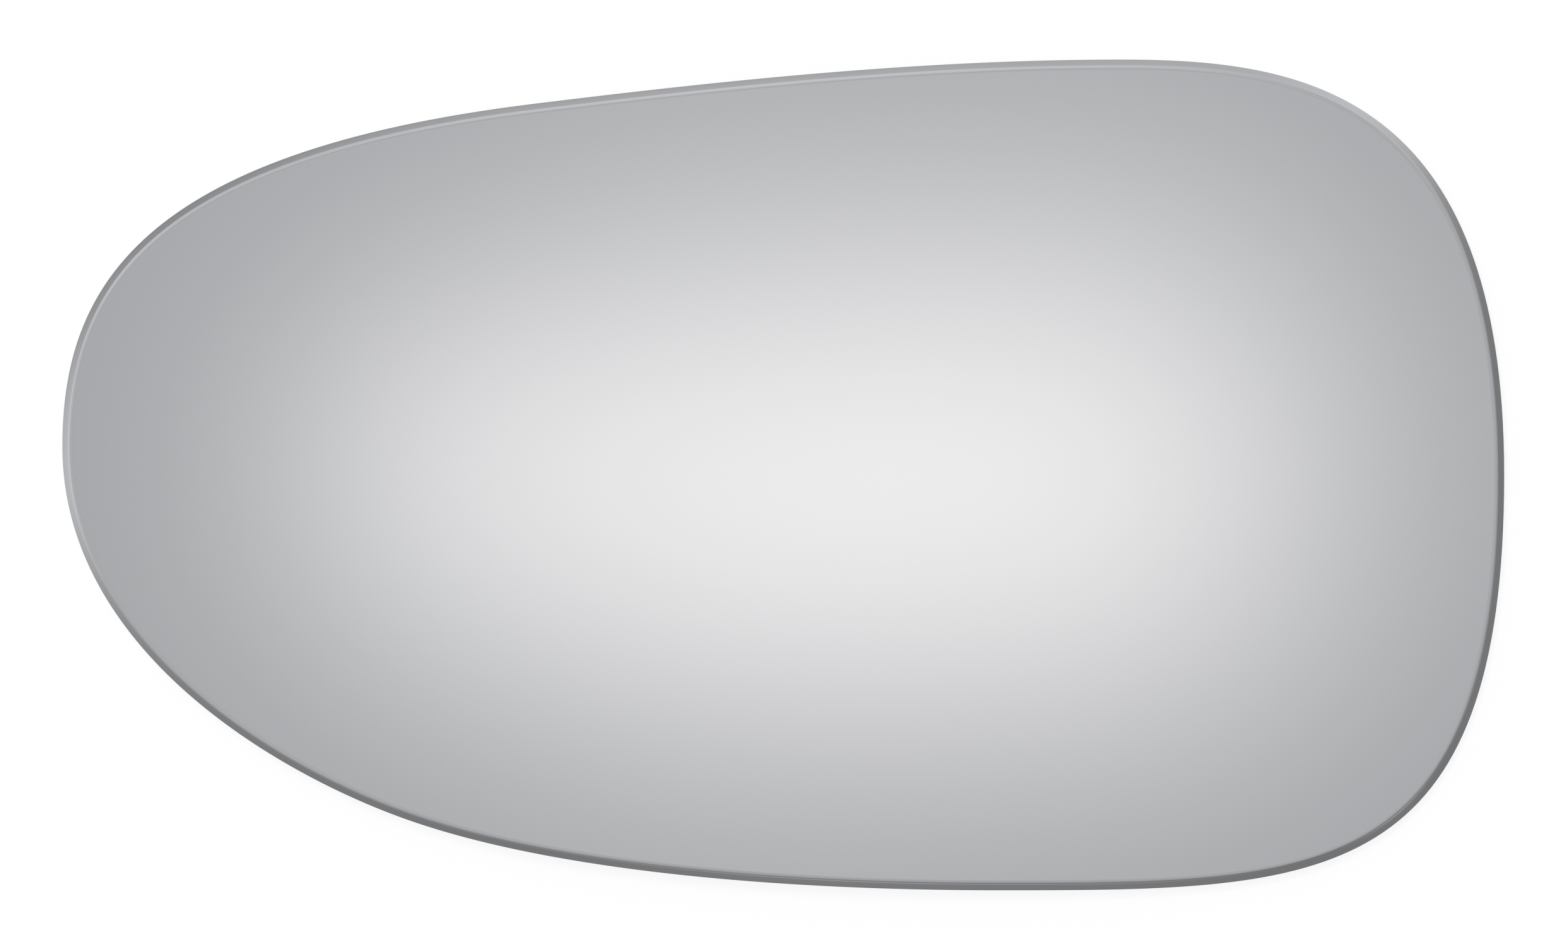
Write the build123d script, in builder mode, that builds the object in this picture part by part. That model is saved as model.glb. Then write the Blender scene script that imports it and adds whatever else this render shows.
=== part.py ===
from build123d import *
from build123d.topology import SkipClean
from math import hypot, sqrt
import os

# Convex glass of a car door mirror: one sheet, bent to a sphere, cut to its outline and ground round the rim.
# It lies on its back edge with the mirror face up. X runs from the narrow nose to the broad end, Y up the
# mirror as it hangs on the door and Z out of the mirror face. Lengths are in millimetres, slopes in degrees.

# Sheet
length = 178.0  # nose to broad end
height = 102.5  # belly to crest
thickness = 2.0  # of the glass, square to the face all over
mirror_radius = 1260.0  # of the sphere that the mirror face belongs to

# Ground rim
bevel_width = 0.9  # of the bevel round the mirror face, measured on the face
bevel_depth = 0.5  # of the same bevel, measured down the edge
back_arris = 0.3  # sharp corner taken off round the back, measured both ways

# Places that the outline passes through, each set from the end or side that it belongs to
broad_end_rise = 0.0  # above mid height
crest_inset = 47.0  # from the broad end
shoulder_inset = 58.0  # from the nose
shoulder_drop = 5.5  # below the crest
shoulder_slope = 7.0  # of the edge as it climbs from shoulder to crest
nose_rise = 3.5  # above mid height
chin_inset = 42.5  # from the nose
chin_lift = 8.75  # above the belly
chin_slope = 19.5  # of the edge as it falls from chin to belly
belly_inset = 61.0  # from the broad end

# Pulls: how far each curve reaches along the edge before it bends away to the next place
broad_end_up_pull = 47.5
crest_outer_pull = 22.0
crest_inner_pull = 24.5
shoulder_outer_pull = 24.5
shoulder_inner_pull = 49.0
nose_up_pull = 19.5
nose_down_pull = 25.0
chin_inner_pull = 17.0
chin_outer_pull = 26.0
belly_inner_pull = 10.5
belly_outer_pull = 39.0
broad_end_down_pull = 51.0

# The places
broad_end = Vector(length / 2, broad_end_rise)
crest = Vector(length / 2 - crest_inset, height / 2)
shoulder = Vector(-length / 2 + shoulder_inset, height / 2 - shoulder_drop)
nose = Vector(-length / 2, nose_rise)
chin = Vector(-length / 2 + chin_inset, -height / 2 + chin_lift)
belly = Vector(length / 2 - belly_inset, -height / 2)

# The edge's directions there
across = Vector(1, 0)
up = Vector(0, 1)
climb = across.rotate(Axis.Z, shoulder_slope)
fall = across.rotate(Axis.Z, -chin_slope)

# Each curve of the outline keeps a wall of its own, which the bevel and the arris then follow one by one
with SkipClean():
    with BuildLine(Plane.XY.offset(-thickness)) as outline:
        Bezier(broad_end, broad_end + up * broad_end_up_pull, crest + across * crest_outer_pull, crest)
        Bezier(crest, crest - across * crest_inner_pull, shoulder + climb * shoulder_outer_pull, shoulder)
        Bezier(shoulder, shoulder - climb * shoulder_inner_pull, nose + up * nose_up_pull, nose)
        Bezier(nose, nose - up * nose_down_pull, chin - fall * chin_inner_pull, chin)
        Bezier(chin, chin + fall * chin_outer_pull, belly - across * belly_inner_pull, belly)
        Bezier(belly, belly + across * belly_outer_pull, broad_end - up * broad_end_down_pull, broad_end)
    blank_plan = make_face(outline.line)

    # The back edge touches the table where it is furthest from the crown, and the dome's height brings it to Z = 0
    stations = 60
    edge_points = [curve @ (i / stations) for curve in outline.edges() for i in range(stations)]
    rest_radius = max(hypot(point.X, point.Y) for point in edge_points) - back_arris
    back_radius = mirror_radius - thickness
    dome_centre = Vector(0, 0, -sqrt(back_radius**2 - rest_radius**2))
    crown_height = dome_centre.Z + mirror_radius

    # A blank that stands a thickness above and below the glass, cut to a shell between two spheres
    with BuildPart() as mirror_glass:
        extrude(blank_plan, amount=crown_height + 2 * thickness, clean=False)
        with Locations(dome_centre):
            Sphere(mirror_radius, rotation=(90, 0, 0), mode=Mode.INTERSECT)
            Sphere(back_radius, rotation=(90, 0, 0), mode=Mode.SUBTRACT)

        mirror_face = mirror_glass.faces().filter_by(GeomType.SPHERE).sort_by(Axis.Z)[-1]
        chamfer(mirror_face.edges(), length=bevel_width, length2=bevel_depth, reference=mirror_face)
        back_face = mirror_glass.faces().filter_by(GeomType.SPHERE).sort_by(Axis.Z)[0]
        chamfer(back_face.edges(), length=back_arris)

mirror_glass.part.label = "mirror_glass"
os.makedirs("parts", exist_ok=True)
export_step(mirror_glass.part, "parts/mirror_glass.step")
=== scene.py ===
from math import cos, radians, sin, sqrt

import bmesh
import bpy
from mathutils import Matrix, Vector


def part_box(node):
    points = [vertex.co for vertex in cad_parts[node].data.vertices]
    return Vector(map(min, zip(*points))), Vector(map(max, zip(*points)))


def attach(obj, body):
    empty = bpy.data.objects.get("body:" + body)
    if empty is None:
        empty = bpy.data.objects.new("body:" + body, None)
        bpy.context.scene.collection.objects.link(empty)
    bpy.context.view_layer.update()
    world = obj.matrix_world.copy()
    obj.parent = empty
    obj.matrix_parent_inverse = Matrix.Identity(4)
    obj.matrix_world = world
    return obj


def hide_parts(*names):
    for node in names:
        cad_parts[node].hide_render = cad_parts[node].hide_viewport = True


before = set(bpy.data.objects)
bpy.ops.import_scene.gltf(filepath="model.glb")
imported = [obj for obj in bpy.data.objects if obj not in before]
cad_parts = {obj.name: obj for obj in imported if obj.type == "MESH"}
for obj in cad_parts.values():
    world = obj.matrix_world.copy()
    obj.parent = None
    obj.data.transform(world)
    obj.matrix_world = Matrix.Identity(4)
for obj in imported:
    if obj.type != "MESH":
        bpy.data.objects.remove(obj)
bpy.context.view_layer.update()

# Convex glass of a car door mirror, lying on its back edge with the mirror face up, as the CAD node
# mirror_glass lies. X runs from the narrow nose to the broad end, Y up the mirror as it hangs on the door.
# Lengths are in metres, angles in degrees.
mm = 0.001
node_low, node_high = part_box("mirror_glass")

# Sheet
thickness = 2.0 * mm
mirror_radius = 1260.0 * mm
crown_height = 5.2 * mm  # of the mirror face over the surface that the back edge rests on

# Ground rim
bevel_width = 0.9 * mm
bevel_depth = 0.5 * mm
bevel_corner = 0.25 * mm  # reach of the polish that rounds the corner between bevel and mirror face
corner_steps = 8
back_arris = 0.3 * mm
sharp_angle = 25.0  # corners of the rim that turn by more than this stay crisp

# The outline's places, anticlockwise from the broad end: where the edge is, which way it heads there, and how
# far the curves before and after it hold to that heading
nose_end, broad_end = node_low.x, node_high.x
belly, crest = node_low.y, node_high.y
outline_places = [
    (broad_end, 0.0, 90.0, 51.0 * mm, 47.5 * mm),
    (broad_end - 47.0 * mm, crest, 180.0, 22.0 * mm, 24.5 * mm),
    (nose_end + 58.0 * mm, crest - 5.5 * mm, 187.0, 24.5 * mm, 49.0 * mm),
    (nose_end, 3.5 * mm, 270.0, 19.5 * mm, 25.0 * mm),
    (nose_end + 42.5 * mm, belly + 8.75 * mm, 340.5, 17.0 * mm, 26.0 * mm),
    (broad_end - 61.0 * mm, belly, 0.0, 10.5 * mm, 39.0 * mm),
]
points_per_curve = 64
face_margin = 0.15 * mm  # strip inside the bevel's rounded corner, which keeps its shading off the face
face_rings = 24
level_slack = 0.001 * mm  # what is this near to a level lies on it

# Finishes
drift_size = 60.0 * mm  # of the slow changes in the film's thickness
swell_size, swell_height = 45.0 * mm, 0.002 * mm  # of what bending leaves in the face
stroke_length, stroke_width, stroke_turn = 90.0 * mm, 4.0 * mm, 24.0  # of the last wipe over the face
edge_relief = 0.01 * mm  # of the wheel's streaks on the cut edge
glass_index = 1.52

# Camera, straight above the glass as in the photograph
picture_width = 2485  # pixels of the photograph
picture_scale = 12.8415 / mm  # its pixels to a metre of the glass
picture_aim = (0.09 * mm, 0.85 * mm)  # the middle of the picture, from the middle of the glass
lens = 300.0
sensor = 36.0
rim_level = 2.0 * mm  # the rim's height, at which the picture has its scale

# Studio: a dome with a white sweep behind the floor, a dark wall above it and a pale ceiling. Brightness of
# each, and the heights between which one passes into the next
sweep_level, wall_level, ceiling_level = 1.0, 0.28, 0.6
sweep_top, wall_foot = 5.0, 22.0
wall_top, ceiling_edge = 50.0, 70.0

# Soft round lights on the dome, each with its direction, the height of its middle, how far it spreads, its
# brightness and its colour
lamp_white, plain_white = "#FFFBF6", "#FFFFFF"
studio_lights = [
    ("overhead, broad end", 0.0, 85.0, 3.3, 0.61, lamp_white),
    ("overhead, middle", 190.0, 89.0, 3.3, 0.6, lamp_white),
    ("overhead, nose", 180.0, 84.5, 2.5, 0.3, lamp_white),
    ("beside the broad end", 0.0, 50.0, 10.0, 0.25, plain_white),
    ("round the broad end's corner", 35.0, 45.0, 10.0, 0.3, plain_white),
    ("low behind the broad end", 55.0, 25.0, 15.0, 0.5, plain_white),
    ("behind the crest", 95.0, 45.0, 15.0, 0.6, plain_white),
    ("behind the shoulder", 145.0, 45.0, 12.0, 0.5, plain_white),
    ("low before the nose", 185.0, 35.0, 15.0, 0.65, plain_white),
    ("beside the chin", 230.0, 50.0, 12.0, 0.2, plain_white),
    ("before the belly", 270.0, 38.0, 5.0, 0.25, plain_white),
    ("before the broad end", 315.0, 38.0, 5.0, 0.3, plain_white),
]

# Key lamp, which lights matt surfaces and casts the shadow
key_direction, key_elevation = 130.0, 70.0
key_distance = 1200.0 * mm
key_size = 420.0 * mm
key_power = 6.7

floor_radius = 12.0
floor_sides = 64
floor_glow = 0.88  # share of the floor's white that the shadow doesn't reach


def linear(code):
    """An sRGB hex colour as linear red, green, blue and alpha"""
    shares = [int(code[i : i + 2], 16) / 255 for i in (1, 3, 5)]
    return [s / 12.92 if s <= 0.04045 else ((s + 0.055) / 1.055) ** 2.4 for s in shares] + [1.0]


def towards(direction, elevation):
    """The unit vector at this angle round from +X and this height over the floor"""
    a, e = radians(direction), radians(elevation)
    return Vector((cos(e) * cos(a), cos(e) * sin(a), sin(e)))


def add(tree, kind, settings, links=None):
    """Adds a node, sets its properties and the values of its inputs, and links other nodes' outputs to it"""
    node = tree.nodes.new("ShaderNode" + kind)
    for name, value in settings.items():
        if isinstance(name, int) or name in node.inputs:
            node.inputs[name].default_value = value
        else:
            setattr(node, name, value)
    for name, output in (links or {}).items():
        tree.links.new(output, node.inputs[name])
    return node


def new_material(name):
    material = bpy.data.materials.new(name)
    material.use_nodes = True
    material.node_tree.nodes.clear()
    return material, material.node_tree


def finish_material(tree, shader):
    add(tree, "OutputMaterial", {}, {"Surface": shader.outputs[0]})


def noise(tree, place, size, detail):
    """Noise with features about this large"""
    return add(tree, "TexNoise", {"Scale": 1 / size, "Detail": detail}, {"Vector": place})


def colour_between(tree, pattern, low, high):
    """A colour that runs from low to high as the pattern does"""
    ends = {"data_type": "RGBA", 6: linear(low), 7: linear(high)}
    return add(tree, "Mix", ends, {0: pattern.outputs["Fac"]}).outputs[2]


def value_between(tree, pattern, low, high):
    """A value that runs from low to high as the pattern does"""
    ends = {"To Min": low, "To Max": high}
    return add(tree, "MapRange", ends, {"Value": pattern.outputs["Fac"]}).outputs["Result"]


def film_on_polished_glass():
    """Chromium film sputtered on the front of bent float glass: a bright, faintly cool mirror with no depth
    under it. The film's thickness drifts slowly over the sheet, the last wipe leaves the faintest haze in
    long strokes, and bending leaves a slow swell in the reflection."""
    material, tree = new_material("chromium_film_on_polished_glass")
    place = add(tree, "TexCoord", {}).outputs["Object"]
    drift = noise(tree, place, size=drift_size, detail=1.0)
    turn = (0, 0, radians(stroke_turn))
    scale = (1 / stroke_length, 1 / stroke_width, 1)
    strokes = add(tree, "Mapping", {"Rotation": turn, "Scale": scale}, {"Vector": place})
    haze = noise(tree, strokes.outputs["Vector"], size=1.0, detail=3.0)
    swell = noise(tree, place, size=swell_size, detail=0.0)
    bump = add(tree, "Bump", {"Distance": swell_height}, {"Height": swell.outputs["Fac"]})
    shader = add(tree, "BsdfPrincipled", {"Metallic": 1.0}, {
        "Base Color": colour_between(tree, drift, "#C9CBCE", "#CBCCD0"),
        "Roughness": value_between(tree, haze, 0.015, 0.035),
        "Normal": bump.outputs["Normal"],
    })
    finish_material(tree, shader)
    return material


def rim_streaks(tree, streak_length, streak_width):
    """Fine streaks along the rim, which a grinding wheel leaves as the edge runs past it: noise that is slow
    along the glass and quick through the depth of the sheet"""
    place = add(tree, "TexCoord", {})
    parts = add(tree, "SeparateXYZ", {}, {0: place.outputs["Object"]})
    depth = add(tree, "Attribute", {"attribute_name": "depth"})
    runs = {
        "X": (parts.outputs["X"], streak_length),
        "Y": (parts.outputs["Y"], streak_length),
        "Z": (depth.outputs["Fac"], streak_width),
    }
    scaled = {}
    for axis, (run, size) in runs.items():
        scaled[axis] = add(tree, "Math", {"operation": "MULTIPLY", 1: 1 / size}, {0: run}).outputs[0]
    return noise(tree, add(tree, "CombineXYZ", {}, scaled).outputs[0], size=1.0, detail=2.0)


def film_on_ground_bevel():
    """The same film over the ground and polished bevel: still a mirror, a little softer than the face, with
    the last of the wheel's streaks in it. The streaks are coarser than a wheel's, so that they show."""
    material, tree = new_material("chromium_film_on_ground_bevel")
    streaks = rim_streaks(tree, streak_length=30 * mm, streak_width=0.06 * mm)
    shader = add(tree, "BsdfPrincipled", {"Metallic": 1.0}, {
        "Base Color": colour_between(tree, streaks, "#C7C8CB", "#CFD0D3"),
        "Roughness": value_between(tree, streaks, 0.06, 0.14),
    })
    finish_material(tree, shader)
    return material


def ground_glass_edge():
    """Cut edge of float glass, ground with a diamond wheel and left bare: matt, pale grey green, streaked
    along the rim"""
    material, tree = new_material("diamond_ground_glass_edge")
    streaks = rim_streaks(tree, streak_length=25 * mm, streak_width=0.12 * mm)
    bump = add(tree, "Bump", {"Distance": edge_relief}, {"Height": streaks.outputs["Fac"]})
    shader = add(tree, "BsdfPrincipled", {"IOR": glass_index}, {
        "Base Color": colour_between(tree, streaks, "#93A29B", "#BCC8C2"),
        "Roughness": value_between(tree, streaks, 0.42, 0.62),
        "Normal": bump.outputs["Normal"],
    })
    finish_material(tree, shader)
    return material


def glass_over_film():
    """The back: clear float glass with the film seen through it, a darker and greener mirror under the
    glass's own gloss"""
    material, tree = new_material("float_glass_over_chromium_film")
    place = add(tree, "TexCoord", {}).outputs["Object"]
    drift = noise(tree, place, size=drift_size, detail=1.0)
    gloss = {"Coat Weight": 1.0, "Coat Roughness": 0.03, "Coat IOR": glass_index}
    shader = add(tree, "BsdfPrincipled", {"Metallic": 1.0, **gloss}, {
        "Base Color": colour_between(tree, drift, "#87908C", "#8E9793"),
        "Roughness": value_between(tree, drift, 0.05, 0.09),
    })
    finish_material(tree, shader)
    return material


def outline_mesh():
    """The glass's outline as a mesh loop, from six Bezier curves that run on into each other"""
    curve = bpy.data.curves.new("glass_outline", "CURVE")
    curve.dimensions = "3D"
    curve.resolution_u = points_per_curve
    spline = curve.splines.new("BEZIER")
    spline.bezier_points.add(len(outline_places) - 1)
    spline.use_cyclic_u = True
    for point, (x, y, heading, hold_before, hold_after) in zip(spline.bezier_points, outline_places):
        place, along = Vector((x, y, -thickness)), towards(heading, 0)
        point.handle_left_type = point.handle_right_type = "FREE"
        point.co = place
        point.handle_left = place - along * hold_before
        point.handle_right = place + along * hold_after
    drawn = bpy.data.objects.new("glass_outline", curve)
    mesh = bpy.data.meshes.new_from_object(drawn)
    bpy.data.objects.remove(drawn)
    return mesh


def flat_face(bm, level):
    """The blank's one large face at this height"""
    flat = [f for f in bm.faces if all(abs(v.co.z - level) < level_slack for v in f.verts)]
    return max(flat, key=lambda f: f.calc_area())


def round_edges(bm, face, reach, steps):
    """Cuts the edges round a face back by this reach: one step makes a flat, more make a round"""
    bmesh.ops.bevel(bm, geom=face.edges[:], offset=reach, offset_type="OFFSET", segments=steps,
                    profile=0.5, affect="EDGES", material=-1)


def ring_to_middle(bm, face):
    """Divides a large face by smaller and smaller copies of its edge, and closes the middle"""
    bmesh.ops.inset_region(bm, faces=[face], thickness=face_margin, use_even_offset=True)
    for ring in range(face_rings, 1, -1):
        face = bmesh.ops.extrude_discrete_faces(bm, faces=[face])["faces"][0]
        share = (ring - 1) / ring
        bmesh.ops.scale(bm, vec=(share, share, 1), verts=face.verts)
    bmesh.ops.poke(bm, faces=[face])


def mirror_sheet(materials):
    """The glass: a flat blank cut to the outline and ground round its rim, then bent to its sphere"""
    bm = bmesh.new()
    bm.from_mesh(outline_mesh())
    back = bmesh.ops.contextual_create(bm, geom=bm.edges[:])["faces"][0]
    grown = bmesh.ops.extrude_face_region(bm, geom=[back])["geom"]
    raised = [g for g in grown if isinstance(g, bmesh.types.BMVert)]
    bmesh.ops.translate(bm, vec=(0, 0, thickness), verts=raised)

    # The bevel: a band inside the edge, whose outer side goes down, with its inner corner rounded by
    # polishing. The back gets a small flat.
    front = flat_face(bm, 0)
    bmesh.ops.inset_region(bm, faces=[front], thickness=bevel_width, use_even_offset=True)
    kept = set(front.verts)
    rim = [v for v in bm.verts if v.co.z > -thickness / 2 and v not in kept]
    bmesh.ops.translate(bm, vec=(0, 0, -bevel_depth), verts=rim)
    round_edges(bm, front, bevel_corner, corner_steps)
    round_edges(bm, flat_face(bm, -thickness), back_arris, 1)
    ring_to_middle(bm, flat_face(bm, 0))
    ring_to_middle(bm, flat_face(bm, -thickness))
    bmesh.ops.recalc_face_normals(bm, faces=bm.faces[:])

    # Finishes, by how deep in the sheet a face lies: mirror face, bevel, cut edge, back
    floors = [level_slack, bevel_depth, thickness - level_slack, 2 * thickness]
    for f in bm.faces:
        f.smooth = True
        depth = -f.calc_center_median().z
        f.material_index = next(i for i, floor in enumerate(floors) if depth < floor)
    for e in bm.edges:
        e.smooth = e.calc_face_angle() < radians(sharp_angle)

    # Bending: each layer of the sheet goes to its own sphere about the one centre
    depth_layer = bm.verts.layers.float.new("depth")
    for v in bm.verts:
        v[depth_layer] = -v.co.z
        v.co.z = crown_height - mirror_radius + sqrt((mirror_radius + v.co.z) ** 2 - v.co.x**2 - v.co.y**2)

    # Faces in the order of their corners, because the tools above leave them in another order each run
    bm.verts.index_update()
    span = 4 * len(bm.verts)  # more than the indices of a face's corners add up to
    bm.faces.sort(key=lambda f: span * min(v.index for v in f.verts) + sum(v.index for v in f.verts))

    mesh = bpy.data.meshes.new("bent_mirror_glass")
    bm.to_mesh(mesh)
    bm.free()
    for material in materials:
        mesh.materials.append(material)
    sheet = bpy.data.objects.new("bent_mirror_glass", mesh)
    bpy.context.scene.collection.objects.link(sheet)
    return sheet


def dome_step(tree, height, low, high, before, after):
    """Brightness that passes softly from one level to another between two heights on the dome"""
    heights = {"From Min": sin(radians(low)), "From Max": sin(radians(high))}
    levels = {"To Min": before, "To Max": after}
    settings = {"interpolation_type": "SMOOTHSTEP", **heights, **levels}
    return add(tree, "MapRange", settings, {"Value": height}).outputs[0]


def studio_world():
    """The dome with its sweep, wall and ceiling, and the soft round lights on it"""
    world = bpy.data.worlds.new("soft_studio")
    bpy.context.scene.world = world
    world.use_nodes = True
    tree = world.node_tree
    tree.nodes.clear()
    place = add(tree, "TexCoord", {}).outputs["Generated"]
    height = add(tree, "SeparateXYZ", {}, {0: place}).outputs["Z"]
    wall = dome_step(tree, height, sweep_top, wall_foot, sweep_level, wall_level)
    ceiling = dome_step(tree, height, wall_top, ceiling_edge, 0.0, ceiling_level - wall_level)
    total = add(tree, "Math", {"operation": "ADD"}, {0: wall, 1: ceiling})
    for name, direction, elevation, spread, level, white in studio_lights:
        falloff = radians(spread) ** -2
        aim = {"operation": "DOT_PRODUCT", 1: towards(direction, elevation), "label": name}
        facing = add(tree, "VectorMath", aim, {0: place}).outputs["Value"]
        fall = add(tree, "Math", {"operation": "MULTIPLY_ADD", 1: falloff, 2: -falloff}, {0: facing})
        glow = add(tree, "Math", {"operation": "EXPONENT"}, {0: fall.outputs[0]})
        colour = [level * share for share in linear(white)[:3]]
        total = add(tree, "VectorMath", {"operation": "MULTIPLY_ADD", 1: colour},
                    {0: glow.outputs[0], 2: total.outputs[0]})
    light = add(tree, "Background", {}, {"Color": total.outputs[0]})
    add(tree, "OutputWorld", {}, {"Surface": light.outputs[0]})


def key_lamp():
    lamp = bpy.data.lights.new("soft_key", "AREA")
    lamp.shape = "DISK"
    lamp.size = key_size
    lamp.energy = key_power
    key = bpy.data.objects.new("soft_key", lamp)
    away = towards(key_direction, key_elevation)
    key.location = away * key_distance
    key.rotation_mode = "QUATERNION"
    key.rotation_quaternion = away.to_track_quat("Z", "Y")
    key.visible_glossy = False  # the mirror shows the dome's lights alone
    bpy.context.scene.collection.objects.link(key)


def paper_floor():
    """Matt white paper. What the eye or a mirror sees of it is mostly plain white, and the rest takes the
    shadow."""
    material, tree = new_material("matt_white_paper")
    matt = {"Base Color": linear("#FCFCFC"), "Roughness": 0.9, "Specular IOR Level": 0.0}
    paper = add(tree, "BsdfPrincipled", matt)
    white = add(tree, "Emission", {"Color": linear("#FFFFFF"), "Strength": 1.0})
    path = add(tree, "LightPath", {})
    seen = path.outputs["Is Camera Ray"]
    for ray in ("Is Glossy Ray", "Is Transmission Ray"):
        seen = add(tree, "Math", {"operation": "MAXIMUM"}, {0: seen, 1: path.outputs[ray]}).outputs[0]
    share = add(tree, "Math", {"operation": "MULTIPLY", 1: floor_glow}, {0: seen})
    both = {0: share.outputs[0], 1: paper.outputs[0], 2: white.outputs[0]}
    finish_material(tree, add(tree, "MixShader", {}, both))

    bm = bmesh.new()
    bmesh.ops.create_circle(bm, cap_ends=True, segments=floor_sides, radius=floor_radius)
    mesh = bpy.data.meshes.new("paper_floor")
    bm.to_mesh(mesh)
    bm.free()
    mesh.materials.append(material)
    floor = bpy.data.objects.new("paper_floor", mesh)
    bpy.context.scene.collection.objects.link(floor)


def photo_camera():
    lens_data = bpy.data.cameras.new("photo_camera")
    lens_data.lens = lens
    lens_data.sensor_width = sensor
    camera = bpy.data.objects.new("photo_camera", lens_data)
    distance = picture_width / picture_scale * lens / sensor
    camera.location = (*picture_aim, rim_level + distance)
    bpy.context.scene.collection.objects.link(camera)
    bpy.context.scene.camera = camera


bpy.context.scene.view_settings.view_transform = "Standard"
studio_world()
key_lamp()
paper_floor()
photo_camera()

finishes = [film_on_polished_glass(), film_on_ground_bevel(), ground_glass_edge(), glass_over_film()]
glass = mirror_sheet(finishes)
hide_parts("mirror_glass")
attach(glass, "root")
